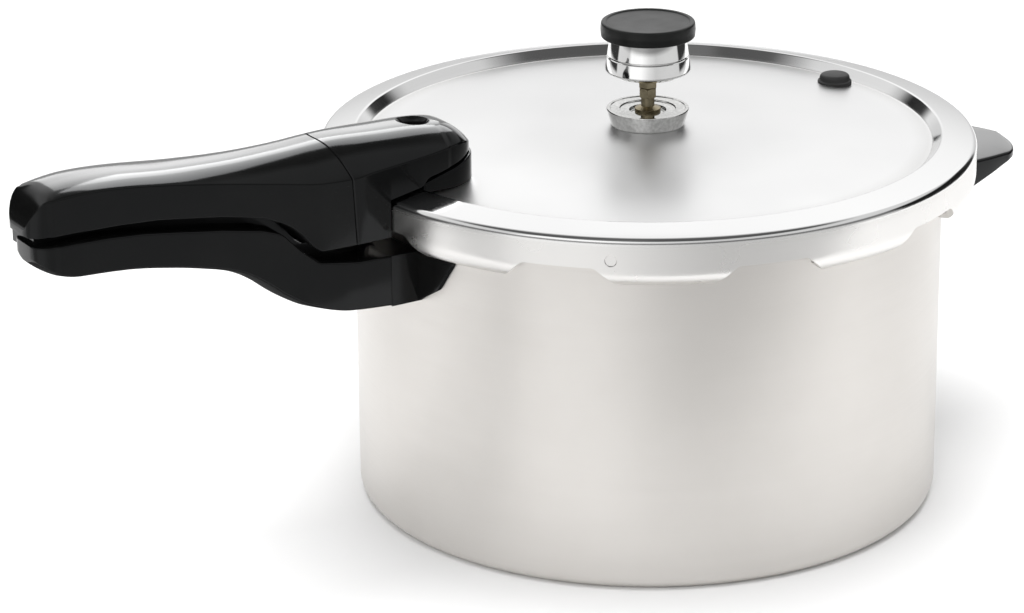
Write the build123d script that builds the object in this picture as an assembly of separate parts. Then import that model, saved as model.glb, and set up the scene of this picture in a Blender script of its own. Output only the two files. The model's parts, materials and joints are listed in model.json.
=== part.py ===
from build123d import *
import os
import math

# ---------------------------------------------------------------------------
# Stovetop pressure cooker. Units are millimetres.
# Z is up, the base rests on z = 0 and the axis of the pot is the Z axis.
# The long handles point along -X, the small helper handle along +X.
# ---------------------------------------------------------------------------

# pot
R_POT = 127.5            # outside radius of the wall
WALL = 3.0               # wall thickness
BASE_T = 4.0             # base thickness
BASE_R = 6.0             # radius where the wall turns into the base
Z_RIM = 153.0            # top of the rim
R_RIM = 131.5            # outside of the continuous rim ring
RIM_T = 3.0              # thickness of the rim ring
R_LUG_POT = 135.4        # outside of the bayonet lugs on the rim
Z_LUG_POT = 142.4        # lower edge of those lugs

# bayonet
N_LUG = 10
LUG_PITCH = 360.0 / N_LUG
LUG_PHASE = -12.8        # angle of one lug centre
POT_LUG_DEG = 15.0       # width of a rim lug
GAP_TOP_DEG = 12.3       # width of a skirt gap at its top
GAP_BOT_DEG = 20.4       # width of a skirt gap at the lugs
Z_GAP = 147.3            # top of a skirt gap
TURN_DEG = 18.0          # turn that opens the cover

# cover
COVER_T = 2.8
R_SKIRT = 141.8          # outside of the skirt
Z_EDGE = 159.7           # outer edge of the border
R_STEP = 126.7           # inner edge of the border
Z_STEP = 162.6
R_PANEL = 122.5          # edge of the sunk panel
Z_PANEL = 158.1
R_FLAT = 20.0            # flat in the middle of the panel
Z_TOP = 164.0            # middle of the panel
Z_LUG = 138.6            # lowest point of the cover lugs
R_LUG_IN = 132.0         # inner end of the cover lugs
SKIRT_BEND = 8.0         # outer bend radius of skirt into lug

# sealing ring
RING_IN, RING_OUT = 125.6, 137.0
RING_Z0, RING_Z1, RING_Z2 = 153.05, 155.0, 157.1

# vent and regulator
R_VENT_HOLE = 5.0
VENT_Z1 = 171.3          # top of the stepped disc
R_PIPE = 2.9             # neck of the pipe
HEX_PIPE = 4.05          # hexagon of the pipe, across corners / 2
HEX_COLLAR = 4.25        # hexagon of the regulator collar, across corners / 2
HEX_TURN = -4.0          # angle of one hexagon corner
PIPE_Z1 = 180.2          # shoulder of the pipe
R_TIP = 2.5              # upper end of the pipe
PIPE_TIP = 197.6
R_BORE = 1.3
REG_Z0 = 186.6           # lower face of the regulator weights
REG_GROOVE = 194.9
REG_Z1 = 203.3           # top of the metal weights
CAP_Z1 = 210.0
R_CAP = 20.5

# safety parts in the panel
R_PLUG_POS, PLUG_DEG = 112.5, 7.7
R_AIR_POS = 117.5        # distance of the air vent from the axis, on the -X side
AIR_TRAVEL = 3.5

# handles
R_SEAM = 165.2           # joint between front and rear moulding, on the ridge
R_SEAM_EDGE = 154.3      # the same joint 26 mm off the ridge
SEAM_LEAN = -3.27        # lean of that joint in degrees
R_GUARD = 140.5          # joint between guard and lower grip
NOSE = 94.6              # front end of the cover handle
TIP_TOP = 299.3          # rear end of the cover handle
TIP_LOW = 296.6          # rear end of the body handle
TIP_HALF = 12.8          # half width at the rear end
TIP_R = 8.0              # corner radius of the rear end, seen from above

os.makedirs("parts", exist_ok=True)


def put(name, shape):
    export_step(shape, "parts/" + name + ".step")


def lathe(pts, radii=0, arc=360.0, start=0.0):
    """Solid of revolution about Z from an (r, z) outline."""
    if radii == 0:
        line = Polyline(*pts, close=True)
    else:
        line = FilletPolyline(*pts, radius=radii, close=True)
    body = revolve(Plane.XZ * make_face(line), Axis.Z, arc)
    return Rot(0, 0, start) * body


def zcyl(x, y, r, z0, z1):
    return Pos(x, y, (z0 + z1) / 2) * Cylinder(r, z1 - z0)


def bar(x0, x1, y0, y1, z0, z1):
    return Pos((x0 + x1) / 2, (y0 + y1) / 2, (z0 + z1) / 2) * Box(
        x1 - x0, y1 - y0, z1 - z0)


def side(pts, half, radii=0):
    """Prism across Y from an (x, z) outline."""
    if radii == 0:
        line = Polyline(*pts, close=True)
    else:
        line = FilletPolyline(*pts, radius=radii, close=True)
    return extrude(Plane.XZ * make_face(line), half, both=True)


def plan(pts, z0, z1):
    """Prism along Z from an (x, y) outline with a smooth closed curve."""
    return Pos(0, 0, z0) * extrude(make_face(Spline(*pts, periodic=True)), z1 - z0)


def screw(x, y, z_head, z_tip, r_head=3.6, r_shank=2.0, h_head=2.6):
    """Pan head screw that points up, with a cross recess in its head."""
    s = zcyl(x, y, r_head, z_head, z_head + h_head)
    s = fillet(s.edges().sort_by(Axis.Z)[0], 1.0)
    s = s + zcyl(x, y, r_shank, z_head + h_head, z_tip)
    s = s - bar(x - 2.2, x + 2.2, y - 0.45, y + 0.45, z_head - 0.1, z_head + 1.4)
    s = s - bar(x - 0.45, x + 0.45, y - 2.2, y + 2.2, z_head - 0.1, z_head + 1.4)
    return s


# ---------------------------------------------------------------------------
# Pot: one lathe outline, then ten lugs that are turned down over the rim.
# ---------------------------------------------------------------------------
R_IN = R_POT - WALL
pot = lathe(
    [(0, 0), (R_POT, 0), (R_POT, Z_RIM - RIM_T),
     (R_RIM, Z_RIM - RIM_T), (R_RIM, Z_RIM), (R_IN, Z_RIM), (R_IN, BASE_T),
     (0, BASE_T)],
    [0, BASE_R, 1.0, 0.8, 0.8, 0.8, 10.0, 0])
lug_line = FilletPolyline(
    (R_RIM - 2.0, Z_RIM), (R_LUG_POT, Z_RIM), (R_LUG_POT, Z_LUG_POT),
    (R_LUG_POT - 2.4, Z_LUG_POT), (R_LUG_POT - 2.4, Z_RIM - RIM_T),
    (R_RIM - 2.0, Z_RIM - RIM_T),
    radius=[0, 2.2, 0.6, 0.6, 0.8, 0], close=True)
lug = revolve(Plane.XZ * make_face(lug_line), Axis.Z, POT_LUG_DEG)
lug = Rot(0, 0, LUG_PHASE - POT_LUG_DEG / 2) * lug
pot = pot + [Rot(0, 0, k * LUG_PITCH) * lug for k in range(N_LUG)]
put("pot_body", pot)

wall_cut = zcyl(0, 0, R_POT, 60, 152)

# ---------------------------------------------------------------------------
# Main handle on the pot: bracket, guard, grip, screw.
# ---------------------------------------------------------------------------
ARM_Z0, ARM_Z1, ARM_HALF = 122.0, 128.0, 9.0
bracket = bar(-172, -120, -ARM_HALF, ARM_HALF, ARM_Z0, ARM_Z1)
bracket = bracket + bar(-131.0, -118, -13, 13, 117.5, 132.5)
bracket = bracket - wall_cut
SCREW_X = -162.0
bracket = bracket - zcyl(SCREW_X, 0, 2.0, ARM_Z0 - 1, ARM_Z1 + 1)
put("body_handle_bracket", bracket)

# guard: a block in front of the wall with two wings that follow the wall
GUARD_TOP, GUARD_BOT = 135.8, 114.0
block = side([(-R_GUARD, GUARD_BOT), (-R_GUARD, GUARD_TOP + 0.2),
              (-110, GUARD_TOP - 0.4), (-110, GUARD_BOT)], 19.5)
wing = lathe([(R_POT - 4, GUARD_BOT), (R_POT + 1.8, GUARD_BOT + 0.6),
              (R_POT + 1.8, GUARD_TOP - 0.7), (R_POT - 4, GUARD_TOP - 0.4)],
             0, 36.0, 180 - 18.0)
wing = wing & extrude(
    Plane.YZ * make_face(Polyline(
        (-39.4, 135.6), (-39.0, 134.0), (-31, 121.6), (-22, 116.0), (-19, GUARD_BOT),
        (19, GUARD_BOT), (22, 116.0), (31, 121.6), (39.0, 134.0), (39.4, 135.6),
        (34, GUARD_TOP), (-34, GUARD_TOP), close=True)), -160)
guard = block + wing - zcyl(0, 0, R_POT + 0.02, 60, 152)
guard = guard - bar(-131.2, -110, -13.2, 13.2, 117.3, 132.7)
guard = guard - bar(-R_GUARD - 1, -110, -ARM_HALF - 0.1, ARM_HALF + 0.1,
                    ARM_Z0 - 0.1, ARM_Z1 + 0.1)
put("body_handle_guard", guard)


def section(x, w, z0, z1, crown, base, up=True):
    """Handle section at x: flat side, arched top (up) or arched bottom."""
    pl = Plane(origin=(x, 0, 0), x_dir=(0, 1, 0), z_dir=(1, 0, 0))
    if up:
        lines = [Line((-w, z0), (w, z0)), Line((w, z0), (w, z1 - crown)),
                 ThreePointArc((w, z1 - crown), (w * 0.62, z1 - crown * 0.32), (0, z1)),
                 ThreePointArc((0, z1), (-w * 0.62, z1 - crown * 0.32), (-w, z1 - crown)),
                 Line((-w, z1 - crown), (-w, z0))]
    else:
        lines = [Line((-w, z1), (w, z1)), Line((w, z1), (w, z0 + crown)),
                 ThreePointArc((w, z0 + crown), (w * 0.66, z0 + crown * 0.30), (0, z0)),
                 ThreePointArc((0, z0), (-w * 0.66, z0 + crown * 0.30), (-w, z0 + crown)),
                 Line((-w, z0 + crown), (-w, z1))]
    return pl * make_face(Wire(lines))


def outline(pts, radii, z0, z1):
    """Prism along Z from a straight-sided (x, y) outline with rounded corners."""
    line = FilletPolyline(*pts, radius=radii, close=True)
    return Pos(0, 0, z0) * extrude(make_face(line), z1 - z0)


def even(rows, count):
    """Rows at equal steps of x, by a monotone cubic through the given rows."""
    xs = [r[0] for r in rows]
    n = len(xs)
    out = []
    cols = []
    for c in range(1, len(rows[0])):
        ys = [r[c] for r in rows]
        d = [(ys[i + 1] - ys[i]) / (xs[i + 1] - xs[i]) for i in range(n - 1)]
        m = [d[0]] + [0.0 if d[i - 1] * d[i] <= 0 else 2 * d[i - 1] * d[i] / (d[i - 1] + d[i])
                      for i in range(1, n - 1)] + [d[-1]]
        cols.append((ys, m))
    for k in range(count):
        x = xs[0] + (xs[-1] - xs[0]) * k / (count - 1)
        i = max(j for j in range(n - 1) if j == 0 or x <= xs[j])
        h = xs[i + 1] - xs[i]
        t = (x - xs[i]) / h
        row = [x]
        for ys, m in cols:
            row.append((2 * t**3 - 3 * t**2 + 1) * ys[i] + (t**3 - 2 * t**2 + t) * h * m[i]
                       + (3 * t**2 - 2 * t**3) * ys[i + 1] + (t**3 - t**2) * h * m[i + 1])
        out.append(tuple(row))
    return out


# lower grip: arched underside, flat top that faces the cover handle, with a
# rib along its middle that closes the space between the two handles
low_rows = [  # x, half width, bottom, arch
    (-R_GUARD, 20.0, 112.6, 2.0), (-160, 19.8, 114.2, 2.0), (-178, 18.8, 119.0, 2.6),
    (-188, 17.9, 124.6, 3.0), (-197, 17.3, 131.6, 3.0), (-206, 16.9, 137.4, 3.0),
    (-214, 16.5, 141.0, 2.6), (-224, 16.3, 143.8, 2.4), (-238, 16.1, 146.9, 2.4),
    (-258, 15.7, 150.0, 2.4), (-271, 15.3, 150.8, 2.4), (-280, 14.9, 151.1, 2.4),
    (-287, 14.4, 152.7, 2.4), (-293, 13.8, 156.0, 2.4), (-300, 13.2, 162.2, 2.4)]
low = loft([section(x, w, z0, 176.0, c, 0, up=False) for x, w, z0, c in even(low_rows, 18)])
low_top = side(
    [(-100, 136.0), (-156, 136.6), (-174, 139.4), (-182.5, 146.6), (-190, 154.5),
     (-198, 157.4), (-216, 160.8), (-237, 164.0), (-252, 166.1), (-267, 167.1),
     (-281, 167.2), (-297, 166.4), (-320, 165.8), (-320, 200), (-100, 200)], 60,
    [0, 0, 6, 10, 6, 14, 0, 0, 0, 0, 0, 0, 0, 0, 0])
low = low - low_top
low = low & outline([(-100, -30), (-100, 30), (-270, 30), (-270, 15.6), (-TIP_LOW, TIP_HALF),
                     (-TIP_LOW, -TIP_HALF), (-270, -15.6), (-270, -30)],
                    [0, 0, 0, 0, TIP_R, TIP_R, 0, 0], 100, 190)
rib = Pos(0, 4.75, 0) * side(
    [(-147, 134.0), (-147, 144.0), (-172, 144.0), (-175.2, 144.2), (-177.7, 146.0),
     (-182.2, 151.4), (-186.0, 155.1), (-190.6, 158.1), (-198.4, 161.9), (-216, 166.0),
     (-244.5, 169.9), (-262, 170.9), (-280, 171.0), (-290, 170.6), (-290, 163.0),
     (-237, 160.0), (-200, 154.0), (-192, 150.0), (-184, 142.0), (-172, 135.0)], 9.75)
low = low + rib
low = low - bar(-173, -120, -ARM_HALF - 0.1, ARM_HALF + 0.1, ARM_Z0 - 0.1, ARM_Z1 + 0.1)
low = low - zcyl(SCREW_X, 0, 2.05, 100, 123) - zcyl(SCREW_X, 0, 3.8, 100, 118.4)
put("body_handle_grip", low)
put("body_handle_screw", screw(SCREW_X, 0, 115.8, 127.6))

# ---------------------------------------------------------------------------
# Helper handle on the opposite side: bracket, tab, screw.
# ---------------------------------------------------------------------------
HB_Z0, HB_Z1 = 116.4, 121.4
HB_SCREW = 147.0
hb = bar(118, 156, -8, 8, HB_Z0, HB_Z1) + bar(118, 130.5, -13, 13, 111.5, 124.0)
hb = hb - wall_cut - zcyl(HB_SCREW, 0, 2.0, 100, 130)
put("helper_handle_bracket", hb)

tab = side([(110, 103.5), (128, 104.8), (160, 114.8), (181, 121.9), (190, 122.6),
            (194, 122.9), (194, 126.2), (160, 127.0), (110, 127.4)], 60,
           [0, 0, 0, 8.0, 0, 1.2, 1.6, 0, 0])
tab = tab & plan([(100, -33), (128, -32), (150, -30.2), (168, -28.6), (178, -27.0),
                  (184.5, -23.6), (189.8, -15.2), (193.2, 0), (189.8, 15.2), (184.5, 23.6),
                  (178, 27.0), (168, 28.6), (150, 30.2), (128, 32), (100, 33), (92, 0)],
                 98, 140)
tab = tab - zcyl(0, 0, R_POT + 0.02, 60, 152)
tab = fillet(tab.edges().filter_by(
    lambda e: e.center().X > 138 and e.center().Z > 125.5
    and abs(e.center().Y) > 5 and e.length > 18), 1.6)
tab = tab - bar(110, 130.7, -13.2, 13.2, 111.3, 124.2)
tab = tab - bar(110, 156.2, -8.1, 8.1, HB_Z0 - 0.1, HB_Z1 + 0.1)
tab = tab - zcyl(HB_SCREW, 0, 2.05, 98, 117) - zcyl(HB_SCREW, 0, 3.8, 98, 114.0)
put("helper_handle", tab)
put("helper_handle_screw", screw(HB_SCREW, 0, 111.4, 121.1))

# ---------------------------------------------------------------------------
# Sealing ring: L section that sits on the rim, in the channel of the cover.
# ---------------------------------------------------------------------------
ring = lathe([(RING_IN, RING_Z0), (RING_OUT, RING_Z0), (RING_OUT, RING_Z2),
              (128.6, RING_Z2), (128.6, RING_Z1), (RING_IN, RING_Z1)],
             [0.5, 0.5, 0.6, 0.6, 0.4, 0.5])
put("sealing_ring", ring)

# ---------------------------------------------------------------------------
# Cover: sunk panel, border, skirt and lugs in one pressed sheet.
# ---------------------------------------------------------------------------


def dome(r):
    """Height of the upper face of the panel at radius r."""
    if r <= R_FLAT:
        return Z_TOP
    return Z_TOP - (Z_TOP - Z_PANEL) * ((r - R_FLAT) / (R_PANEL - R_FLAT)) ** 2


dome_r = [R_FLAT + (R_PANEL - R_FLAT) * k / 6 for k in range(7)]
up_pts = [(r, dome(r)) for r in dome_r]
lo_pts = [(r, dome(r) - COVER_T) for r in dome_r]

R_SK_IN = R_SKIRT - COVER_T
Z_BEND = Z_LUG + SKIRT_BEND
R_BEND = R_SKIRT - SKIRT_BEND
EDGE_R = 2.4
top_line = Line((0, Z_TOP), up_pts[0])
top_dome = Spline(*up_pts, tangents=[(1, 0), (1, -0.115)])
rim_line = FilletPolyline(
    up_pts[-1], (R_STEP, Z_STEP), (R_SKIRT, Z_EDGE), (R_SKIRT, Z_BEND),
    radius=[1.3, EDGE_R])
out_bend = RadiusArc((R_SKIRT, Z_BEND), (R_BEND, Z_LUG), SKIRT_BEND)
lug_tip = Polyline((R_BEND, Z_LUG), (R_LUG_IN, Z_LUG), (R_LUG_IN, Z_LUG + COVER_T),
                   (R_BEND, Z_LUG + COVER_T))
in_bend = RadiusArc((R_BEND, Z_LUG + COVER_T), (R_SK_IN, Z_BEND),
                    -(SKIRT_BEND - COVER_T))
in_line = FilletPolyline(
    (R_SK_IN, Z_BEND), (R_SK_IN, Z_EDGE - COVER_T + 0.45),
    (R_STEP + 0.9, Z_STEP - COVER_T), (R_PANEL + 1.0, Z_PANEL - COVER_T - 0.12),
    radius=[1.2, 0.6])
low_dome = Spline((R_PANEL + 1.0, Z_PANEL - COVER_T - 0.12), *reversed(lo_pts[:-1]),
                  tangents=[(-1, 0.115), (-1, 0)])
low_line = Polyline(lo_pts[0], (0, Z_TOP - COVER_T), (0, Z_TOP))
cover_face = make_face(Wire(
    top_line.edges() + top_dome.edges() + rim_line.edges() + out_bend.edges()
    + lug_tip.edges() + in_bend.edges() + in_line.edges() + low_dome.edges()
    + low_line.edges()))
cover = revolve(Plane.XZ * cover_face, Axis.Z, 360)

# ten gaps with sloped ends, so that the rim lugs can pass
half_top = R_SKIRT * math.tan(math.radians(GAP_TOP_DEG / 2))
half_bot = R_SKIRT * math.tan(math.radians(GAP_BOT_DEG / 2))
gap_line = FilletPolyline(
    (-half_bot, Z_LUG - 3), (-half_bot, Z_LUG), (-half_top, Z_GAP), (half_top, Z_GAP),
    (half_bot, Z_LUG), (half_bot, Z_LUG - 3), radius=[0, 2.0, 2.5, 2.5, 2.0, 0],
    close=True)
gap = extrude(Plane.YZ.offset(128) * make_face(gap_line), 20)
gaps = [Rot(0, 0, LUG_PHASE + (k + 0.5) * LUG_PITCH) * gap for k in range(N_LUG)]
cover = cover - gaps

px = R_PLUG_POS * math.cos(math.radians(PLUG_DEG))
py = R_PLUG_POS * math.sin(math.radians(PLUG_DEG))
RIVET_X, RIVET_Y, RIVET_R = -101.0, 6.5, 1.75
cover = cover - zcyl(0, 0, R_VENT_HOLE, 150, 175)
cover = cover - zcyl(-R_AIR_POS, 0, 3.6, 150, 175)
cover = cover - zcyl(px, py, 5.0, 150, 175)
cover = cover - [zcyl(RIVET_X, s * RIVET_Y, RIVET_R, 150, 175) for s in (-1, 1)]
# small round dimple pressed into the skirt
dimple = Rot(0, 0, -129.9) * (Pos(R_SKIRT - 0.4, 0, 150.8) * Rot(0, 90, 0)
                              * Cylinder(2.5, 2.0, align=(Align.CENTER, Align.CENTER, Align.MIN)))
cover = cover - dimple
put("cover", cover)

# ---------------------------------------------------------------------------
# Cover handle: strap, rivets, front moulding, rear moulding, screws.
# ---------------------------------------------------------------------------
ST_Z0, ST_Z1, ST_HALF = 163.6, 166.2, 10.0
strap = bar(-177, -96, -ST_HALF, ST_HALF, ST_Z0, ST_Z1)
strap = strap + bar(-105.5, -96, -ST_HALF, ST_HALF, 157, ST_Z0)
dome_cut = lathe([(0, 140)] + [(0, Z_TOP + 0.02)] + [(r, dome(r) + 0.02) for r in
                 [R_FLAT + (R_PANEL - R_FLAT) * k / 24 for k in range(25)]]
                 + [(R_PANEL, 140)])
strap = strap - dome_cut
strap = strap - zcyl(-R_AIR_POS, 0, 6.0, 150, 175)
C_SCREWS = (-149.0, -169.5)
strap = strap - [zcyl(x, 0, 2.0, 150, 175) for x in C_SCREWS]
strap = strap - [zcyl(RIVET_X, s * RIVET_Y, RIVET_R, 150, 175) for s in (-1, 1)]
put("cover_handle_bracket", strap)

rivets = []
for s in (-1, 1):
    zb = dome(math.hypot(RIVET_X, RIVET_Y)) - COVER_T - 0.35
    rv = zcyl(RIVET_X, s * RIVET_Y, RIVET_R, zb, ST_Z1)
    rv = rv + zcyl(RIVET_X, s * RIVET_Y, 3.4, ST_Z1, ST_Z1 + 1.6)
    rv = rv + zcyl(RIVET_X, s * RIVET_Y, 3.4, zb - 1.4, zb)
    rivets.append(rv)
put("cover_bracket_rivets", Compound(children=rivets))

top_rows = [  # x, half width, ridge, arch
    (-90, 18.4, 175.2, 3.2), (-95, 18.4, 179.2, 4.0), (-100, 18.5, 182.3, 5.0),
    (-105, 18.8, 184.4, 6.0), (-111, 19.2, 185.5, 7.4), (-120, 19.8, 186.3, 9.2),
    (-133, 20.4, 186.8, 11.0), (-146, 20.8, 187.3, 12.7), (-158, 21.0, 187.5, 14.2),
    (-166, 20.8, 187.2, 14.2), (-177, 19.6, 186.6, 12.7), (-190, 18.4, 186.2, 10.1),
    (-203, 17.6, 186.2, 7.8), (-216, 17.0, 186.7, 6.0), (-235, 16.4, 188.0, 4.2),
    (-250, 16.2, 189.4, 3.5), (-264, 15.9, 190.2, 3.0), (-278, 15.3, 190.0, 2.6),
    (-290, 14.6, 188.6, 2.6), (-306, 13.6, 186.0, 2.6)]
upper = loft([section(x, w, 130.0, z1, c, 0) for x, w, z1, c in top_rows])
upper = upper & outline(
    [(-NOSE, -18.6), (-NOSE, 18.6), (-140, 24), (-200, 24), (-270, 16.2),
     (-TIP_TOP, TIP_HALF), (-TIP_TOP, -TIP_HALF), (-270, -16.2), (-200, -24), (-140, -24)],
    [16.5, 16.5, 0, 0, 0, TIP_R, TIP_R, 0, 0, 0], 120, 200)

# front zone: everything on the pot side of the curved joint
zone_line = [ThreePointArc((-R_SEAM_EDGE, -26), (-R_SEAM, 0), (-R_SEAM_EDGE, 26)),
             Polyline((-R_SEAM_EDGE, 26), (-60, 26), (-60, -26), (-R_SEAM_EDGE, -26))]
zone = extrude(make_face(Wire(zone_line[0].edges() + zone_line[1].edges())), 260)
zone = (Pos(-158.4, 0, 173) * Rot(0, SEAM_LEAN, 0) * Pos(158.4, 0, -173)
        * Pos(0, 0, 50) * zone)

# front moulding: shell over the border, recess under it and a foot on the panel
front_side = side(
    [(-176, 144.5), (-130, 144.5), (-129.6, 163.0), (-127.6, 163.2), (-125.8, 164.4),
     (-124.2, 166.3), (-122.4, 167.1), (-118, 167.7), (-112, 169.0), (-108, 170.0),
     (-104, 171.2), (-100, 172.4), (-94, 173.2), (-80, 173.4), (-80, 205), (-176, 205)], 60)
rim_clear = lathe([(0, 100), (142.3, 100), (142.3, 160.6), (126.2, 163.4), (0, 163.4)])
front = (upper & front_side & zone) - rim_clear
foot = outline([(-93.8, -17.8), (-93.8, 17.8), (-123.5, 17.8), (-123.5, -17.8)],
               [16.5, 16.5, 1.0, 1.0], 150, 176)
foot = foot & side([(-90, 150), (-90, 172.2), (-94, 172.0), (-100, 171.2), (-106, 169.0),
                    (-112, 166.9), (-119, 165.0), (-126, 163.2), (-126, 150)], 40)
neck = outline([(-96.6, -15.2), (-96.6, 15.2), (-122.0, 15.2), (-122.0, -15.2)],
               [14.0, 14.0, 1.0, 1.0], 163.5, 174.0)
foot_cut = lathe([(0, 140)] + [(0, Z_TOP + 0.3)] + [(r, dome(r) + 0.3) for r in
                 [R_FLAT + (R_PANEL - R_FLAT) * k / 24 for k in range(25)]]
                 + [(R_STEP, Z_STEP + 0.5), (R_STEP + 4, Z_STEP + 0.5), (R_STEP + 4, 140)])
front = front + neck + (foot - foot_cut)
front = front - bar(-190, -95.5, -ST_HALF - 0.1, ST_HALF + 0.1, ST_Z0 - 0.1, ST_Z1 + 0.1)
front = front - [zcyl(RIVET_X, s * RIVET_Y, 3.7, 150, ST_Z1 + 2.2) for s in (-1, 1)]
front = front - bar(-105.7, -95.5, -ST_HALF - 0.1, ST_HALF + 0.1, 150, ST_Z1)
front = front - zcyl(-R_AIR_POS, 0, 5.1, 150, 190) - zcyl(-R_AIR_POS, 0, 6.4, 150, 168)
front = front - Pos(-R_AIR_POS, 0, 185.6) * Cone(5.1, 7.9, 3.6)
front = front - zcyl(C_SCREWS[0], 0, 2.05, 140, 164) - zcyl(C_SCREWS[0], 0, 3.8, 140, 152.0)
put("cover_handle_front", front)

# rear moulding: wraps over the lower grip and runs out to the rear end
rear_side = side(
    [(-140, 144.5), (-173.4, 144.5), (-177, 147.4), (-181.5, 152.8), (-185.3, 156.4),
     (-190, 159.3), (-198, 163.0), (-216, 166.7), (-244.5, 170.6), (-262, 171.6),
     (-280, 171.7), (-TIP_TOP, 170.9), (-TIP_TOP + 1.0, 189.2), (-140, 215)], 60,
    [0, 2.0, 0, 0, 0, 6, 10, 0, 0, 0, 0, 1.0, 10.0, 0])
rear = (upper & rear_side) - zone
rear = rear - bar(-177.3, -140, -ST_HALF - 0.1, ST_HALF + 0.1, ST_Z0 - 0.1, ST_Z1 + 0.1)
rear = rear - zcyl(C_SCREWS[1], 0, 2.05, 140, 164) - zcyl(C_SCREWS[1], 0, 3.8, 140, 152.0)
put("cover_handle_grip", rear)
put("cover_handle_screws", Compound(children=[
    screw(x, 0, 149.4, 165.9) for x in C_SCREWS]))

# ---------------------------------------------------------------------------
# Vent: stepped disc, pipe, washer and nut.
# ---------------------------------------------------------------------------
vbase = lathe([(4.0, Z_TOP), (16.0, Z_TOP), (17.86, VENT_Z1), (11.9, VENT_Z1),
               (11.9, VENT_Z1 - 0.9), (7.7, VENT_Z1 - 0.9), (7.7, VENT_Z1 - 2.4),
               (4.0, VENT_Z1 - 2.4)],
              [0, 0.4, 0.6, 0.3, 0, 0.3, 0, 0])
put("vent_base", vbase)

pipe = lathe([(0, 149.5), (4.0, 149.5), (4.0, VENT_Z1 - 2.4),
              (5.6, VENT_Z1 - 2.4), (5.6, VENT_Z1 - 0.2), (R_PIPE, VENT_Z1 + 0.8),
              (R_PIPE, PIPE_Z1), (R_TIP, PIPE_Z1), (R_TIP, PIPE_TIP - 0.5),
              (R_TIP - 0.5, PIPE_TIP), (0, PIPE_TIP)])
pipe_hex = extrude(Pos(0, 0, PIPE_Z1 - 4.4) * Rot(0, 0, HEX_TURN)
                   * RegularPolygon(HEX_PIPE, 6), 4.4)
pipe_hex = pipe_hex & lathe([(0, 170), (2.9, 170), (2.9, PIPE_Z1 - 4.6), (4.2, PIPE_Z1 - 3.9),
                             (4.2, PIPE_Z1 - 0.7), (3.6, PIPE_Z1 - 0.1), (0, PIPE_Z1 - 0.1)])
pipe = pipe + pipe_hex - zcyl(0, 0, R_BORE, 140, 205)
put("vent_pipe", pipe)
put("vent_pipe_washer", lathe([(4.0, 159.4), (9.0, 159.4), (9.0, Z_TOP - COVER_T),
                               (4.0, Z_TOP - COVER_T)], [0, 0.4, 0.4, 0]))
nut = extrude(Pos(0, 0, 153.6) * RegularPolygon(7.5, 6), 5.8)
nut = nut & lathe([(0, 153.6), (6.9, 153.6), (7.6, 154.2), (7.6, 158.9), (6.9, 159.4),
                   (0, 159.4)])
put("vent_pipe_nut", nut - zcyl(0, 0, 4.0, 150, 165))

# ---------------------------------------------------------------------------
# Regulator: spindle with collar, two weights and the cap.
# ---------------------------------------------------------------------------
SPIN_TOP = 201.5
spindle = extrude(Pos(0, 0, PIPE_Z1 + 0.4) * Rot(0, 0, HEX_TURN)
                  * RegularPolygon(HEX_COLLAR, 6), 189.4 - PIPE_Z1 - 0.4)
spindle = spindle + zcyl(0, 0, 6.0, 189.4, SPIN_TOP)
spindle = spindle - zcyl(0, 0, R_TIP + 0.1, 175, 198.0)
needle = zcyl(0, 0, 0.9, 196.2, 199.0) + Pos(0, 0, 195.4) * Cone(0.2, 0.9, 1.6)
spindle = spindle + needle
put("regulator_spindle", spindle)
lower = lathe([(6.0, 189.4), (9.0, 189.4), (9.0, REG_Z0), (15.6, REG_Z0), (18.5, 188.4),
               (17.75, REG_GROOVE - 0.5), (17.1, REG_GROOVE), (6.0, REG_GROOVE)],
              [0, 0, 0.4, 1.4, 1.0, 0.3, 0, 0])
put("regulator_lower_weight", lower)
upper_w = lathe([(6.0, REG_GROOVE), (17.1, REG_GROOVE), (17.6, REG_GROOVE + 0.5),
                 (16.3, REG_Z1), (8.0, REG_Z1), (8.0, SPIN_TOP), (6.0, SPIN_TOP)],
                [0, 0, 0.3, 0.3, 0, 0, 0])
put("regulator_upper_weight", upper_w)
cap = lathe([(0, SPIN_TOP), (8.0, SPIN_TOP), (8.0, REG_Z1), (R_CAP - 0.3, REG_Z1),
             (R_CAP, 206.6), (R_CAP - 0.3, CAP_Z1), (18.2, CAP_Z1), (17.6, CAP_Z1 - 0.5),
             (0, CAP_Z1 - 0.5)],
            [0, 0, 0, 0.6, 0, 1.1, 0.3, 0, 0])
put("regulator_cap", cap)

# ---------------------------------------------------------------------------
# Overpressure plug and air vent.
# ---------------------------------------------------------------------------
zp = dome(R_PLUG_POS)
plug = lathe([(0, zp - COVER_T - 3.0), (3.6, zp - COVER_T - 3.0), (6.6, zp - COVER_T - 0.5),
              (5.0, zp - COVER_T - 0.5), (5.0, zp + 0.55), (7.6, zp + 0.55), (7.6, zp + 1.5),
              (6.9, zp + 1.9), (6.5, zp + 4.4), (0, zp + 5.0)],
             [0, 1.0, 0.4, 0, 0, 0.3, 0.3, 0, 2.4, 0])
put("overpressure_plug", Pos(px, py, 0) * plug)

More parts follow.
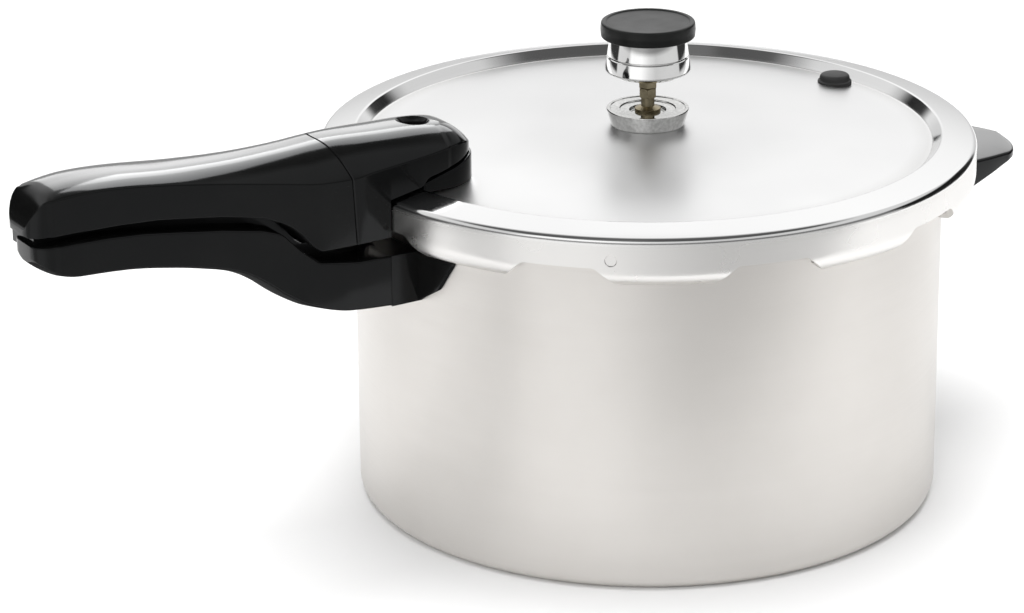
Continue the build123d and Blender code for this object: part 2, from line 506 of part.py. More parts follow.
za = dome(R_AIR_POS)
pin = lathe([(0, za - COVER_T - 8.6), (4.8, za - COVER_T - 8.6), (5.1, za - COVER_T - 6.8),
             (3.0, za - COVER_T - 6.8), (3.0, za + 0.9), (4.7, za + 0.9), (4.7, za + 3.4),
             (3.4, za + 4.4), (3.4, 175.6), (4.4, 176.2), (4.4, 177.6), (3.6, 178.4),
             (0, 178.4)],
            [0, 0.4, 0.3, 0, 0, 0.3, 0.4, 0.4, 0.2, 0.2, 0.3, 0.3, 0])
put("air_vent_pin", Pos(-R_AIR_POS, 0, 0) * pin)
gasket = lathe([(3.0, za - COVER_T - 6.8), (5.6, za - COVER_T - 6.8),
                (5.6, za - COVER_T - 5.2), (4.4, za - COVER_T - 4.4),
                (3.0, za - COVER_T - 4.4)], [0, 0.4, 0.4, 0.4, 0])
put("air_vent_gasket", Pos(-R_AIR_POS, 0, 0) * gasket)
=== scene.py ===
import bpy
import bmesh
import json
import math
from mathutils import Matrix, Vector

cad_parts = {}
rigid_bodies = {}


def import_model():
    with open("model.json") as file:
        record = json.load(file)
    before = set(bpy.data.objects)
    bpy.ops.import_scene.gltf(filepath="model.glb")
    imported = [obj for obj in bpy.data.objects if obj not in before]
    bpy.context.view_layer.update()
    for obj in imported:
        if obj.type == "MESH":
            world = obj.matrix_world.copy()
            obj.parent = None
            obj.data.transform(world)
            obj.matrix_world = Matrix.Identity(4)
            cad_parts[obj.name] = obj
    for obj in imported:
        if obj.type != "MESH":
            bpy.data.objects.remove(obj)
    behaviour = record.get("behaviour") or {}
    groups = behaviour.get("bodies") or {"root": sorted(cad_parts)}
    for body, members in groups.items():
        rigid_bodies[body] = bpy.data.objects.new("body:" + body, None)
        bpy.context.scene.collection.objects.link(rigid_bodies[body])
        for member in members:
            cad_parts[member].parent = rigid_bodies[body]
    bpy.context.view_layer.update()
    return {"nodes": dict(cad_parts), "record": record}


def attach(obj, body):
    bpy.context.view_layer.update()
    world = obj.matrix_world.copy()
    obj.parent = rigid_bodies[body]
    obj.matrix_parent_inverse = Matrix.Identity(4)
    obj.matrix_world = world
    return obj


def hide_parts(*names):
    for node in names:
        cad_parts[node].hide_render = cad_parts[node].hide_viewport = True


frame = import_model()
nodes = frame["nodes"]
scene = bpy.context.scene
MM = 0.001

# ---------------------------------------------------------------------------
# Dimensions, millimetres, the same frame as the solids.
# ---------------------------------------------------------------------------
R_POT, WALL, BASE_T = 127.5, 3.0, 4.0
Z_RIM, R_RIM, RIM_T = 153.0, 131.5, 3.0
R_LUG_POT, Z_LUG_POT, POT_LUG_DEG = 135.4, 142.4, 15.0
N_LUG, LUG_PHASE = 10, -12.8
LUG_PITCH = 360.0 / N_LUG
GAP_TOP_DEG, GAP_BOT_DEG, Z_GAP = 12.3, 20.4, 147.3
COVER_T, R_SKIRT, Z_EDGE = 2.8, 141.8, 159.7
R_STEP, Z_STEP, R_PANEL, Z_PANEL = 126.7, 162.6, 122.5, 158.1
R_FLAT, Z_TOP, Z_LUG, R_LUG_IN, BEND = 20.0, 164.0, 138.6, 132.0, 8.0
VENT_Z1 = 171.3
REG_Z0, REG_GROOVE, REG_Z1, CAP_Z1, R_CAP = 186.6, 194.9, 203.3, 210.0, 20.5
R_PLUG_POS, PLUG_DEG = 112.5, 7.7
R_AIR_POS = 117.5
R_SEAM, R_GUARD = 165.2, 140.5
DIMPLE_DEG, DIMPLE_Z, DIMPLE_R = -129.9, 150.8, 2.5


# ---------------------------------------------------------------------------
# Mesh helpers
# ---------------------------------------------------------------------------
def make(name, verts, faces, sharp=32.0):
    me = bpy.data.meshes.new(name)
    me.from_pydata([(x * MM, y * MM, z * MM) for x, y, z in verts], [], faces)
    bm = bmesh.new()
    bm.from_mesh(me)
    bmesh.ops.remove_doubles(bm, verts=bm.verts, dist=1e-7)
    bmesh.ops.recalc_face_normals(bm, faces=bm.faces)
    bm.to_mesh(me)
    bm.free()
    me.shade_smooth()
    me.set_sharp_from_angle(angle=math.radians(sharp))
    ob = bpy.data.objects.new(name, me)
    scene.collection.objects.link(ob)
    return ob


def rounded(pts, radii, n=6, closed=False):
    """Polyline with its corners replaced by arcs of the given radii."""
    out = []
    m = len(pts)
    for i in range(m):
        p = Vector(pts[i])
        r = radii[i]
        if r <= 0 or (not closed and i in (0, m - 1)):
            out.append((p.x, p.y))
            continue
        a = Vector(pts[i - 1])
        b = Vector(pts[(i + 1) % m])
        u = (a - p).normalized()
        v = (b - p).normalized()
        ang = math.acos(max(-1.0, min(1.0, u.dot(v))))
        if ang > math.pi - 0.02:
            out.append((p.x, p.y))
            continue
        d = min(r / math.tan(ang / 2), 0.49 * (a - p).length, 0.49 * (b - p).length)
        rr = d * math.tan(ang / 2)
        c = p + (u + v).normalized() * (rr / math.sin(ang / 2))
        s = p + u * d - c
        e = p + v * d - c
        t = math.atan2(s.x * e.y - s.y * e.x, s.dot(e))
        for k in range(n + 1):
            w = t * k / n
            q = Vector((s.x * math.cos(w) - s.y * math.sin(w),
                        s.x * math.sin(w) + s.y * math.cos(w)))
            out.append((c.x + q.x, c.y + q.y))
    return out


def lathe(name, prof, segs=192, closed=True, cx=0.0, cy=0.0, sharp=32.0):
    """Surface of revolution about the vertical through (cx, cy)."""
    verts, faces, rows = [], [], []
    for r, z in prof:
        if r < 1e-6:
            rows.append([len(verts)])
            verts.append((cx, cy, z))
        else:
            rows.append(list(range(len(verts), len(verts) + segs)))
            for k in range(segs):
                a = 2 * math.pi * k / segs
                verts.append((cx + r * math.cos(a), cy + r * math.sin(a), z))
    pairs = list(zip(rows, rows[1:]))
    if closed:
        pairs.append((rows[-1], rows[0]))
    for a, b in pairs:
        if len(a) == 1 and len(b) == 1:
            continue
        for k in range(segs):
            j = (k + 1) % segs
            if len(a) == 1:
                faces.append((a[0], b[k], b[j]))
            elif len(b) == 1:
                faces.append((a[k], b[0], a[j]))
            else:
                faces.append((a[k], b[k], b[j], a[j]))
    return make(name, verts, faces, sharp)


def spline(xs, ys):
    """Natural cubic through the points; straight beyond the ends."""
    n = len(xs)
    h = [xs[i + 1] - xs[i] for i in range(n - 1)]
    al = [0.0] * n
    for i in range(1, n - 1):
        al[i] = 3 * ((ys[i + 1] - ys[i]) / h[i] - (ys[i] - ys[i - 1]) / h[i - 1])
    l, mu, zz = [1.0] * n, [0.0] * n, [0.0] * n
    for i in range(1, n - 1):
        l[i] = 2 * (xs[i + 1] - xs[i - 1]) - h[i - 1] * mu[i - 1]
        mu[i] = h[i] / l[i]
        zz[i] = (al[i] - h[i - 1] * zz[i - 1]) / l[i]
    b, c, d = [0.0] * n, [0.0] * n, [0.0] * n
    for j in range(n - 2, -1, -1):
        c[j] = zz[j] - mu[j] * c[j + 1]
        b[j] = (ys[j + 1] - ys[j]) / h[j] - h[j] * (c[j + 1] + 2 * c[j]) / 3
        d[j] = (c[j + 1] - c[j]) / (3 * h[j])

    def f(x):
        if x <= xs[0]:
            return ys[0] + b[0] * (x - xs[0])
        if x >= xs[-1]:
            j = n - 2
            t = xs[-1] - xs[j]
            return ys[-1] + (b[j] + 2 * c[j] * t + 3 * d[j] * t * t) * (x - xs[-1])
        j = 0
        while j < n - 2 and x > xs[j + 1]:
            j += 1
        t = x - xs[j]
        return ys[j] + b[j] * t + c[j] * t * t + d[j] * t ** 3
    return f


def mono(xs, ys):
    """Cubic through the points that never overshoots; straight beyond the ends."""
    n = len(xs)
    d = [(ys[i + 1] - ys[i]) / (xs[i + 1] - xs[i]) for i in range(n - 1)]
    m = [d[0]] + [0.0 if d[i - 1] * d[i] <= 0 else 2 * d[i - 1] * d[i] / (d[i - 1] + d[i])
                  for i in range(1, n - 1)] + [d[-1]]

    def f(x):
        if x <= xs[0]:
            return ys[0] + m[0] * (x - xs[0])
        if x >= xs[-1]:
            return ys[-1] + m[-1] * (x - xs[-1])
        i = 0
        while i < n - 2 and x > xs[i + 1]:
            i += 1
        h = xs[i + 1] - xs[i]
        t = (x - xs[i]) / h
        return ((2 * t**3 - 3 * t**2 + 1) * ys[i] + (t**3 - 2 * t**2 + t) * h * m[i]
                + (3 * t**2 - 2 * t**3) * ys[i + 1] + (t**3 - t**2) * h * m[i + 1])
    return f


def polyline(pts):
    """Piecewise straight z of x through (x, z) points."""
    def f(x):
        if x <= pts[0][0]:
            return pts[0][1]
        for (x0, z0), (x1, z1) in zip(pts, pts[1:]):
            if x <= x1:
                return z0 + (z1 - z0) * (x - x0) / max(1e-9, x1 - x0)
        return pts[-1][1]
    return f


def skin(name, sections, sharp=32.0, place=None):
    """Closed loft through rings of equal point count, flat caps at both ends."""
    m = len(sections[0][1])
    verts, faces = [], []
    for x, ring in sections:
        for y, z in ring:
            verts.append(place(x, y, z) if place else (x, y, z))
    for i in range(len(sections) - 1):
        for k in range(m):
            j = (k + 1) % m
            faces.append((i * m + k, i * m + j, (i + 1) * m + j, (i + 1) * m + k))
    faces.append(tuple(range(m)))
    faces.append(tuple(reversed(range((len(sections) - 1) * m, len(sections) * m))))
    return make(name, verts, faces, sharp)


def cut(ob, cutter):
    """Boolean difference, applied, and the cutter removed."""
    mod = ob.modifiers.new("cut", "BOOLEAN")
    mod.operation = "DIFFERENCE"
    mod.solver = "EXACT"
    mod.object = cutter
    bpy.context.view_layer.update()
    dg = bpy.context.evaluated_depsgraph_get()
    me = bpy.data.meshes.new_from_object(ob.evaluated_get(dg))
    ob.modifiers.clear()
    old = ob.data
    ob.data = me
    bpy.data.meshes.remove(old)
    bpy.data.objects.remove(cutter)
    me.shade_smooth()
    me.set_sharp_from_angle(angle=math.radians(32))


def join(ob, *others):
    """Join other meshes into ob, which keeps its name."""
    name = ob.name
    bpy.ops.object.select_all(action="DESELECT")
    for o in others:
        o.select_set(True)
    ob.select_set(True)
    bpy.context.view_layer.objects.active = ob
    bpy.ops.object.join()
    ob.name = name


def prism(name, x0, x1, half, r_front, z0, z1, r_top=0.0):
    """Upright block with rounded front corners, underside z0(x, y) and top z1(reach)."""
    def ring(d):
        return rounded([(x0 - d, -(half - d)), (x0 - d, half - d), (x1 + d, half - d),
                        (x1 + d, -(half - d))],
                       [r_front - d, r_front - d, 1.0, 1.0], 14, True)
    levels = [(0.0, None), (0.0, -r_top)]
    if r_top > 0:
        levels += [(r_top * (1 - math.cos(w)), -r_top + r_top * math.sin(w))
                   for w in (math.pi / 12 * k for k in range(1, 6))]
        levels.append((r_top, 0.0))
    verts, faces = [], []
    for d, dz in levels:
        for x, y in ring(d):
            verts.append((x, y, z0(x, y) if dz is None else z1(-x) + dz))
    m = len(ring(0.0))
    for i in range(len(levels) - 1):
        for k in range(m):
            j = (k + 1) % m
            faces.append((i * m + k, i * m + j, (i + 1) * m + j, (i + 1) * m + k))
    faces.append(tuple(range(m)))
    faces.append(tuple(reversed(range((len(levels) - 1) * m, len(levels) * m))))
    return make(name, verts, faces)


# ---------------------------------------------------------------------------
# Materials
# ---------------------------------------------------------------------------
class Mat:
    """Small builder around a Principled material."""

    def __init__(self, name, color, metallic, rough, **sockets):
        self.m = bpy.data.materials.new(name)
        self.m.use_nodes = True
        self.t = self.m.node_tree
        self.t.nodes.clear()
        self.out = self.add("ShaderNodeOutputMaterial")
        self.p = self.add("ShaderNodeBsdfPrincipled")
        self.t.links.new(self.p.outputs[0], self.out.inputs[0])
        self.p.inputs["Base Color"].default_value = (*color, 1)
        self.p.inputs["Metallic"].default_value = metallic
        self.p.inputs["Roughness"].default_value = rough
        for k, v in sockets.items():
            self.p.inputs[k.replace("_", " ")].default_value = v
        self.co = self.add("ShaderNodeTexCoord").outputs["Object"]

    def add(self, kind, **attrs):
        n = self.t.nodes.new(kind)
        for k, v in attrs.items():
            setattr(n, k, v)
        return n

    def link(self, a, b):
        self.t.links.new(a, b)

    def stretch(self, sx, sy, sz):
        n = self.add("ShaderNodeMapping")
        n.inputs["Scale"].default_value = (sx, sy, sz)
        self.link(self.co, n.inputs[0])
        return n.outputs[0]

    def noise(self, scale, detail=3.0, rough=0.55, co=None):
        n = self.add("ShaderNodeTexNoise")
        n.inputs["Scale"].default_value = scale
        n.inputs["Detail"].default_value = detail
        n.inputs["Roughness"].default_value = rough
        self.link(co or self.co, n.inputs["Vector"])
        return n.outputs["Fac"]

    def ramp(self, fac, stops):
        n = self.add("ShaderNodeValToRGB")
        e = n.color_ramp.elements
        while len(e) < len(stops):
            e.new(0.5)
        for el, (pos, col) in zip(e, stops):
            el.position = pos
            el.color = (*col, 1)
        self.link(fac, n.inputs[0])
        return n.outputs[0]

    def span(self, fac, lo, hi, a=0.0, b=1.0):
        n = self.add("ShaderNodeMapRange")
        n.inputs["From Min"].default_value = a
        n.inputs["From Max"].default_value = b
        n.inputs["To Min"].default_value = lo
        n.inputs["To Max"].default_value = hi
        self.link(fac, n.inputs["Value"])
        return n.outputs[0]

    def bump(self, fac, strength, dist, prev=None):
        n = self.add("ShaderNodeBump")
        n.inputs["Strength"].default_value = strength
        n.inputs["Distance"].default_value = dist
        self.link(fac, n.inputs["Height"])
        if prev is not None:
            self.link(prev, n.inputs["Normal"])
        self.link(n.outputs[0], self.p.inputs["Normal"])
        return n.outputs[0]

    def color(self, sock):
        self.link(sock, self.p.inputs["Base Color"])

    def rough(self, sock):
        self.link(sock, self.p.inputs["Roughness"])


def satin_aluminium():
    """Turned wall: fine rings around the axis stretch reflections up and down."""
    m = Mat("satin_aluminium", (0.72, 0.70, 0.675), 1.0, 0.36, Anisotropic=0.7,
            Anisotropic_Rotation=0.25)
    tan = m.add("ShaderNodeTangent", direction_type="RADIAL", axis="Z")
    m.link(tan.outputs[0], m.p.inputs["Tangent"])
    turned = m.noise(1.0, 4.0, 0.6, m.stretch(14, 14, 2600))
    cloud = m.noise(18.0, 3.0, 0.5)
    m.color(m.ramp(cloud, [(0.30, (0.675, 0.652, 0.624)), (0.70, (0.713, 0.690, 0.662))]))
    m.rough(m.span(turned, 0.33, 0.41, 0.3, 0.7))
    m.bump(turned, 0.06, 0.00005)
    return m.m


def polished_aluminium():
    """Mirror bright skirt and border, softer sunk panel. Border and skirt colours are darker than the
    panel's: painted shade.
    """
    m = Mat("polished_aluminium", (0.90, 0.90, 0.89), 1.0, 0.10)
    sep = m.add("ShaderNodeSeparateXYZ")
    m.link(m.co, sep.inputs[0])
    flat = m.add("ShaderNodeCombineXYZ")
    m.link(sep.outputs["X"], flat.inputs[0])
    m.link(sep.outputs["Y"], flat.inputs[1])
    reach = m.add("ShaderNodeVectorMath", operation="LENGTH")
    m.link(flat.outputs[0], reach.inputs[0])
    panel = m.span(reach.outputs["Value"], 0.27, 0.0, 0.1210, 0.1235)
    skirt = m.span(sep.outputs["Z"], 0.20, 0.0, 0.1565, 0.1590)
    middle = m.span(reach.outputs["Value"], 0.07, 0.0, 0.045, 0.085)
    smear = m.noise(26.0, 4.0, 0.6)
    base = m.span(smear, 0.07, 0.11, 0.35, 0.70)
    add = m.add("ShaderNodeMath", operation="ADD")
    m.link(panel, add.inputs[0])
    m.link(base, add.inputs[1])
    both = m.add("ShaderNodeMath", operation="ADD")
    m.link(add.outputs[0], both.inputs[0])
    m.link(skirt, both.inputs[1])
    total = m.add("ShaderNodeMath", operation="ADD")
    m.link(both.outputs[0], total.inputs[0])
    m.link(middle, total.inputs[1])
    m.rough(total.outputs[0])
    cloud = m.noise(9.0, 2.0, 0.5)
    bright = m.ramp(cloud, [(0.3, (0.880, 0.880, 0.880)), (0.7, (0.915, 0.915, 0.912))])
    # painted shade: the skirt gets a darker, slightly warm colour; its satin finish is only the extra
    # roughness above
    skirt_painted_shade = m.ramp(cloud, [(0.3, (0.735, 0.725, 0.710)), (0.7, (0.770, 0.760, 0.745))])
    pick = m.add("ShaderNodeMix", data_type="RGBA")
    # height mask: below z 156.5 mm the skirt's painted shade colour is used
    m.link(m.span(sep.outputs["Z"], 1.0, 0.0, 0.1565, 0.1590), pick.inputs[0])
    # painted shade: outside the sunk panel the border and step ring get a darker colour than the
    # panel, chosen by the reach mask below
    border_painted_shade = m.ramp(cloud, [(0.3, (0.775, 0.775, 0.775)), (0.7, (0.815, 0.815, 0.812))])
    edge = m.add("ShaderNodeMix", data_type="RGBA")
    m.link(m.span(reach.outputs["Value"], 0.0, 1.0, 0.1210, 0.1240), edge.inputs[0])
    m.link(bright, edge.inputs[6])
    m.link(border_painted_shade, edge.inputs[7])
    m.link(edge.outputs[2], pick.inputs[6])
    m.link(skirt_painted_shade, pick.inputs[7])
    m.color(pick.outputs[2])
    turned = m.noise(1.0, 4.0, 0.6, m.stretch(14, 14, 2600))
    m.bump(turned, 0.02, 0.00003)
    return m.m


def black_phenolic():
    m = Mat("black_phenolic", (0.004, 0.004, 0.004), 0.0, 0.1, IOR=1.5,
            Specular_Tint=(0.36, 0.37, 0.38, 1.0))
    cloud = m.noise(24.0, 3.0, 0.55)
    m.color(m.ramp(cloud, [(0.30, (0.0026, 0.0027, 0.0028)), (0.72, (0.0048, 0.0048, 0.0046))]))
    grain = m.noise(900.0, 2.0, 0.5)
    # undersides are left as moulded, with no polish
    geo = m.add("ShaderNodeNewGeometry")
    sep = m.add("ShaderNodeSeparateXYZ")
    m.link(geo.outputs["Normal"], sep.inputs[0])
    under = m.span(sep.outputs["Z"], 0.85, 0.0, -0.45, -0.25)
    add = m.add("ShaderNodeMath", operation="ADD")
    m.link(under, add.inputs[0])
    m.link(m.span(cloud, 0.09, 0.15, 0.3, 0.7), add.inputs[1])
    m.rough(add.outputs[0])
    m.bump(grain, 0.03, 0.00003)
    return m.m


def cap_plastic():
    m = Mat("cap_plastic", (0.010, 0.010, 0.010), 0.0, 0.35, IOR=1.5,
            Specular_Tint=(0.35, 0.35, 0.35, 1.0))
    cloud = m.noise(60.0, 3.0, 0.55)
    m.color(m.ramp(cloud, [(0.3, (0.008, 0.0085, 0.0085)), (0.7, (0.013, 0.0135, 0.013))]))
    grain = m.noise(2600.0, 2.0, 0.6)
    m.rough(m.span(cloud, 0.28, 0.40, 0.3, 0.7))
    m.bump(grain, 0.15, 0.00005)
    return m.m


def rubber(name, lo, hi):
    m = Mat(name, lo, 0.0, 0.6)
    cloud = m.noise(70.0, 3.0, 0.6)
    m.color(m.ramp(cloud, [(0.3, lo), (0.7, hi)]))
    grain = m.noise(1800.0, 2.0, 0.6)
    m.rough(m.span(cloud, 0.46, 0.66, 0.3, 0.7))
    m.bump(grain, 0.2, 0.00006)
    return m.m


def chrome():
    m = Mat("bright_chrome", (0.90, 0.90, 0.90), 1.0, 0.05)
    cloud = m.noise(90.0, 3.0, 0.55)
    sep = m.add("ShaderNodeSeparateXYZ")
    m.link(m.co, sep.inputs[0])
    disc = m.span(sep.outputs["Z"], 1.0, 0.0, 0.1725, 0.1745)
    bright = m.ramp(cloud, [(0.3, (0.86, 0.86, 0.855)), (0.7, (0.92, 0.92, 0.915))])
    worn = m.ramp(m.noise(700.0, 3.0, 0.6), [(0.35, (0.50, 0.50, 0.49)), (0.65, (0.66, 0.66, 0.65))])
    pick = m.add("ShaderNodeMix", data_type="RGBA")
    m.link(disc, pick.inputs[0])
    m.link(bright, pick.inputs[6])
    m.link(worn, pick.inputs[7])
    m.color(pick.outputs[2])
    turned = m.noise(1.0, 3.0, 0.6, m.stretch(40, 40, 3600))
    m.rough(m.span(turned, 0.03, 0.08, 0.3, 0.7))
    m.bump(turned, 0.04, 0.00003)
    return m.m


def dark_brass():
    m = Mat("dark_brass", (0.40, 0.34, 0.22), 1.0, 0.36)
    cloud = m.noise(160.0, 4.0, 0.6)
    m.color(m.ramp(cloud, [(0.28, (0.24, 0.20, 0.125)), (0.72, (0.50, 0.44, 0.30))]))
    m.rough(m.span(cloud, 0.26, 0.46, 0.3, 0.7))
    turned = m.noise(1.0, 3.0, 0.6, m.stretch(60, 60, 4200))
    m.bump(turned, 0.12, 0.00005)
    return m.m


def steel(name, lo, hi, r0, r1):
    m = Mat(name, lo, 1.0, r0)
    lines = m.noise(1.0, 4.0, 0.6, m.stretch(60, 1400, 60))
    m.color(m.ramp(lines, [(0.3, lo), (0.7, hi)]))
    m.rough(m.span(lines, r0, r1, 0.3, 0.7))
    m.bump(lines, 0.12, 0.00005)
    return m.m


M_POT = satin_aluminium()
M_COVER = polished_aluminium()
M_BLACK = black_phenolic()
M_CAP = cap_plastic()
M_RUBBER = rubber("black_rubber", (0.016, 0.016, 0.016), (0.030, 0.030, 0.029))
M_PLUG = rubber("plug_rubber", (0.012, 0.012, 0.012), (0.024, 0.024, 0.024))
M_CHROME = chrome()
M_BRASS = dark_brass()
M_BRACKET = steel("bracket_steel", (0.52, 0.52, 0.51), (0.64, 0.64, 0.63), 0.28, 0.42)
M_SCREW = steel("screw_steel", (0.56, 0.56, 0.56), (0.68, 0.68, 0.67), 0.24, 0.38)
BY_SLOT = {"satin_aluminium": M_POT, "polished_aluminium": M_COVER, "black_phenolic": M_BLACK,
           "cap_plastic": M_CAP, "black_rubber": M_RUBBER, "plug_rubber": M_PLUG,
           "bright_chrome": M_CHROME, "dark_brass": M_BRASS, "bracket_steel": M_BRACKET,
           "screw_steel": M_SCREW}
SLOT_OF = {s["node"]: s["material_slot"] for s in frame["record"]["subparts"]}


def settle(ob, body, node):
    """Give a piece its finish, its body and the node it stands for."""
    ob.data.materials.clear()
    ob.data.materials.append(BY_SLOT[SLOT_OF[node]])
    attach(ob, body)
    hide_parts(node)


# ---------------------------------------------------------------------------
# Pot: lathe shell with ten lugs turned down over the rim
# ---------------------------------------------------------------------------
def build_pot():
    ri = R_POT - WALL
    prof = rounded(
        [(0, 0), (R_POT, 0), (R_POT, Z_RIM - RIM_T),
         (R_RIM, Z_RIM - RIM_T), (R_RIM, Z_RIM), (ri, Z_RIM), (ri, BASE_T), (0, BASE_T)],
        [0, 6.0, 1.0, 0.8, 0.8, 0.8, 10.0, 0], 10)
    wall = lathe("pot_shell", prof, 288, closed=False)
    ring = rounded(
        [(R_RIM - 2.5, Z_RIM - 0.05), (R_LUG_POT, Z_RIM - 0.05), (R_LUG_POT, Z_LUG_POT),
         (R_LUG_POT - 2.4, Z_LUG_POT), (R_LUG_POT - 2.4, Z_RIM - RIM_T + 0.05),
         (R_RIM - 2.5, Z_RIM - RIM_T + 0.05)], [0, 2.2, 0.7, 0.7, 0.9, 0], 5, closed=True)
    verts, faces = [], []
    for q in range(N_LUG):
        a0 = LUG_PHASE + q * LUG_PITCH - POT_LUG_DEG / 2
        base = len(verts)
        steps = 16
        for i in range(steps + 1):
            a = math.radians(a0 + POT_LUG_DEG * i / steps)
            edge = 0.45 if i in (0, steps) else 0.0
            for r, z in ring:
                cr, cz = R_LUG_POT - 1.2, Z_RIM - 1.5
                rr = r - (edge if r > cr else 0.0)
                verts.append((rr * math.cos(a), rr * math.sin(a), z))
        n = len(ring)
        for i in range(steps):
            for k in range(n):
                j = (k + 1) % n
                faces.append((base + i * n + k, base + i * n + j,
                              base + (i + 1) * n + j, base + (i + 1) * n + k))
        faces.append(tuple(base + k for k in range(n)))
        faces.append(tuple(base + steps * n + k for k in reversed(range(n))))
    lugs = make("pot_lugs", verts, faces)
    join(wall, lugs)
    settle(wall, "pot", "pot_body")


# ---------------------------------------------------------------------------
# Cover: one sheet, its lower edge follows the lugs and gaps
# ---------------------------------------------------------------------------
def dome(r):
    if r <= R_FLAT:
        return Z_TOP
    return Z_TOP - (Z_TOP - Z_PANEL) * ((r - R_FLAT) / (R_PANEL - R_FLAT)) ** 2


def build_cover():
    rb = R_SKIRT - BEND
    zb = Z_LUG + BEND
    rin = R_SKIRT - COVER_T
    half_t = GAP_TOP_DEG / 2
    half_b = GAP_BOT_DEG / 2
    mm_t = R_SKIRT * math.tan(math.radians(half_t))
    mm_b = R_SKIRT * math.tan(math.radians(half_b))
    edge = rounded([(0.0, Z_GAP), (mm_t, Z_GAP), (mm_b, Z_LUG), (mm_b + 12, Z_LUG)],
                   [0, 4.0, 3.0, 0], 8)

    def z_cut(a):
        """Lower edge of the sheet at angle a."""
        d = (a - LUG_PHASE + LUG_PITCH / 2) % LUG_PITCH
        d = min(d, LUG_PITCH - d)
        return polyline(edge)(R_SKIRT * math.tan(math.radians(d)))

    def r_out(z):
        if z >= zb:
            return R_SKIRT
        return rb + math.sqrt(max(0.0, BEND ** 2 - (zb - z) ** 2))

    def r_inn(z):
        if z >= zb:
            return rin
        if z <= Z_LUG + COVER_T:
            return rb
        return rb + math.sqrt(max(0.0, (BEND - COVER_T) ** 2 - (zb - z) ** 2))

    dome_r = [R_FLAT + (R_PANEL - R_FLAT) * k / 22 for k in range(23)]
    head = [(0.0, Z_TOP), (R_FLAT * 0.5, Z_TOP)] + [(r, dome(r)) for r in dome_r[:-1]]
    bead = rounded([(dome_r[-2], dome(dome_r[-2])), (R_PANEL, Z_PANEL), (R_STEP, Z_STEP),
                    (R_SKIRT, Z_EDGE), (R_SKIRT, 153.0)], [0, 1.0, 1.3, 2.9, 0], 10)
    top = head + bead[1:]
    # the border gets extra rings so that its highlight stays smooth
    under = rounded([(rin, 153.0), (rin, Z_EDGE - COVER_T + 0.45),
                     (R_STEP + 0.9, Z_STEP - COVER_T),
                     (R_PANEL + 1.0, Z_PANEL - COVER_T - 0.12),
                     (dome_r[-3], dome(dome_r[-3]) - COVER_T)], [0, 1.2, 0.8, 1.0, 0], 5)
    tail = under + [(r, dome(r) - COVER_T) for r in reversed(dome_r[:-3])] \
        + [(R_FLAT * 0.5, Z_TOP - COVER_T), (0.0, Z_TOP - COVER_T)]

    angles = []
    a = 0.0
    while a < 360.0 - 1e-6:
        angles.append(a)
        d = (a - LUG_PHASE + LUG_PITCH / 2) % LUG_PITCH
        d = min(d, LUG_PITCH - d)
        fine = abs(a - (DIMPLE_DEG % 360.0)) < 2.0
        a += 0.125 if fine else 0.25 if half_t - 2.0 < d < half_b + 2.0 else 0.75
    n_o, n_i = 14, 12
    cols = []
    for ang in angles:
        zc = z_cut(ang)
        col = list(top)
        zo = max(zc, Z_LUG)
        # outer face, by angle on the bend so that the lug bottom stays round
        for k in range(1, n_o + 1):
            t = k / n_o
            s_end = (153.0 - zb) + BEND * math.asin(min(1.0, max(0.0, (zb - zo) / BEND))) \
                if zo < zb else 153.0 - zo
            s = t * s_end
            if s <= 153.0 - zb:
                col.append((R_SKIRT, 153.0 - s))
            else:
                w = (s - (153.0 - zb)) / BEND
                col.append((rb + BEND * math.cos(w), zb - BEND * math.sin(w)))
        full = zc <= Z_LUG + 1e-6
        r_o = r_out(zo)
        if zo < Z_LUG + COVER_T:
            r_i = R_LUG_IN
        else:
            r_i = r_inn(zo)
        z_i = max(zo, Z_LUG + COVER_T)
        if full:
            col += [(R_LUG_IN + 0.5, Z_LUG), (R_LUG_IN, Z_LUG + 0.5),
                    (R_LUG_IN, Z_LUG + COVER_T - 0.5), (R_LUG_IN + 0.5, Z_LUG + COVER_T)]
        else:
            e = min(0.5, (r_o - r_i) * 0.25)
            z_h = max(zo + 0.02, z_i - 0.5)
            col += [(r_i + e, zo), (r_i, zo + min(0.4, (z_i - zo) * 0.3) + 0.01),
                    (r_i, max(z_i - 0.5, zo + 0.02)), (r_i + (0.4 if z_i > zo else 0.0), z_i + 0.03)]
        s_a = (BEND - COVER_T)
        for k in range(1, n_i + 1):
            t = k / n_i
            z_start = z_i
            if z_start < zb:
                w0 = math.asin(min(1.0, (zb - z_start) / s_a))
                s_end = s_a * w0 + (153.0 - zb)
                s = t * s_end
                if s < s_a * w0:
                    w = w0 - s / s_a
                    col.append((rb + s_a * math.cos(w), zb - s_a * math.sin(w)))
                else:
                    col.append((rin, zb + s - s_a * w0))
            else:
                col.append((rin, z_start + (153.0 - z_start) * t))
        col += tail[1:]
        cols.append(col)
    n = len(cols[0])
    verts, faces = [], []
    for ang, col in zip(angles, cols):
        c, s = math.cos(math.radians(ang)), math.sin(math.radians(ang))
        for r, z in col:
            verts.append((r * c, r * s, z))
    m = len(cols)
    for i in range(m):
        j = (i + 1) % m
        for k in range(n - 1):
            faces.append((i * n + k, i * n + k + 1, j * n + k + 1, j * n + k))
    ob = make("cover_sheet", verts, faces, 40.0)
    hole = lathe("hole", [(0, 150), (3.6, 150), (3.6, 175), (0, 175)], 48, False, -R_AIR_POS, 0)
    cut(ob, hole)
    dimple = lathe("dimple", [(0, 0), (DIMPLE_R - 0.25, 0), (DIMPLE_R + 0.1, 0.45),
                              (DIMPLE_R + 0.1, 3.0), (0, 3.0)], 48, False)
    turn = Matrix.Rotation(math.radians(DIMPLE_DEG), 4, "Z")
    dimple.data.transform(turn @ Matrix.Translation(((R_SKIRT - 0.4) * MM, 0, DIMPLE_Z * MM))
                          @ Matrix.Rotation(math.radians(90), 4, "Y"))
    cut(ob, dimple)
    settle(ob, "cover", "cover")


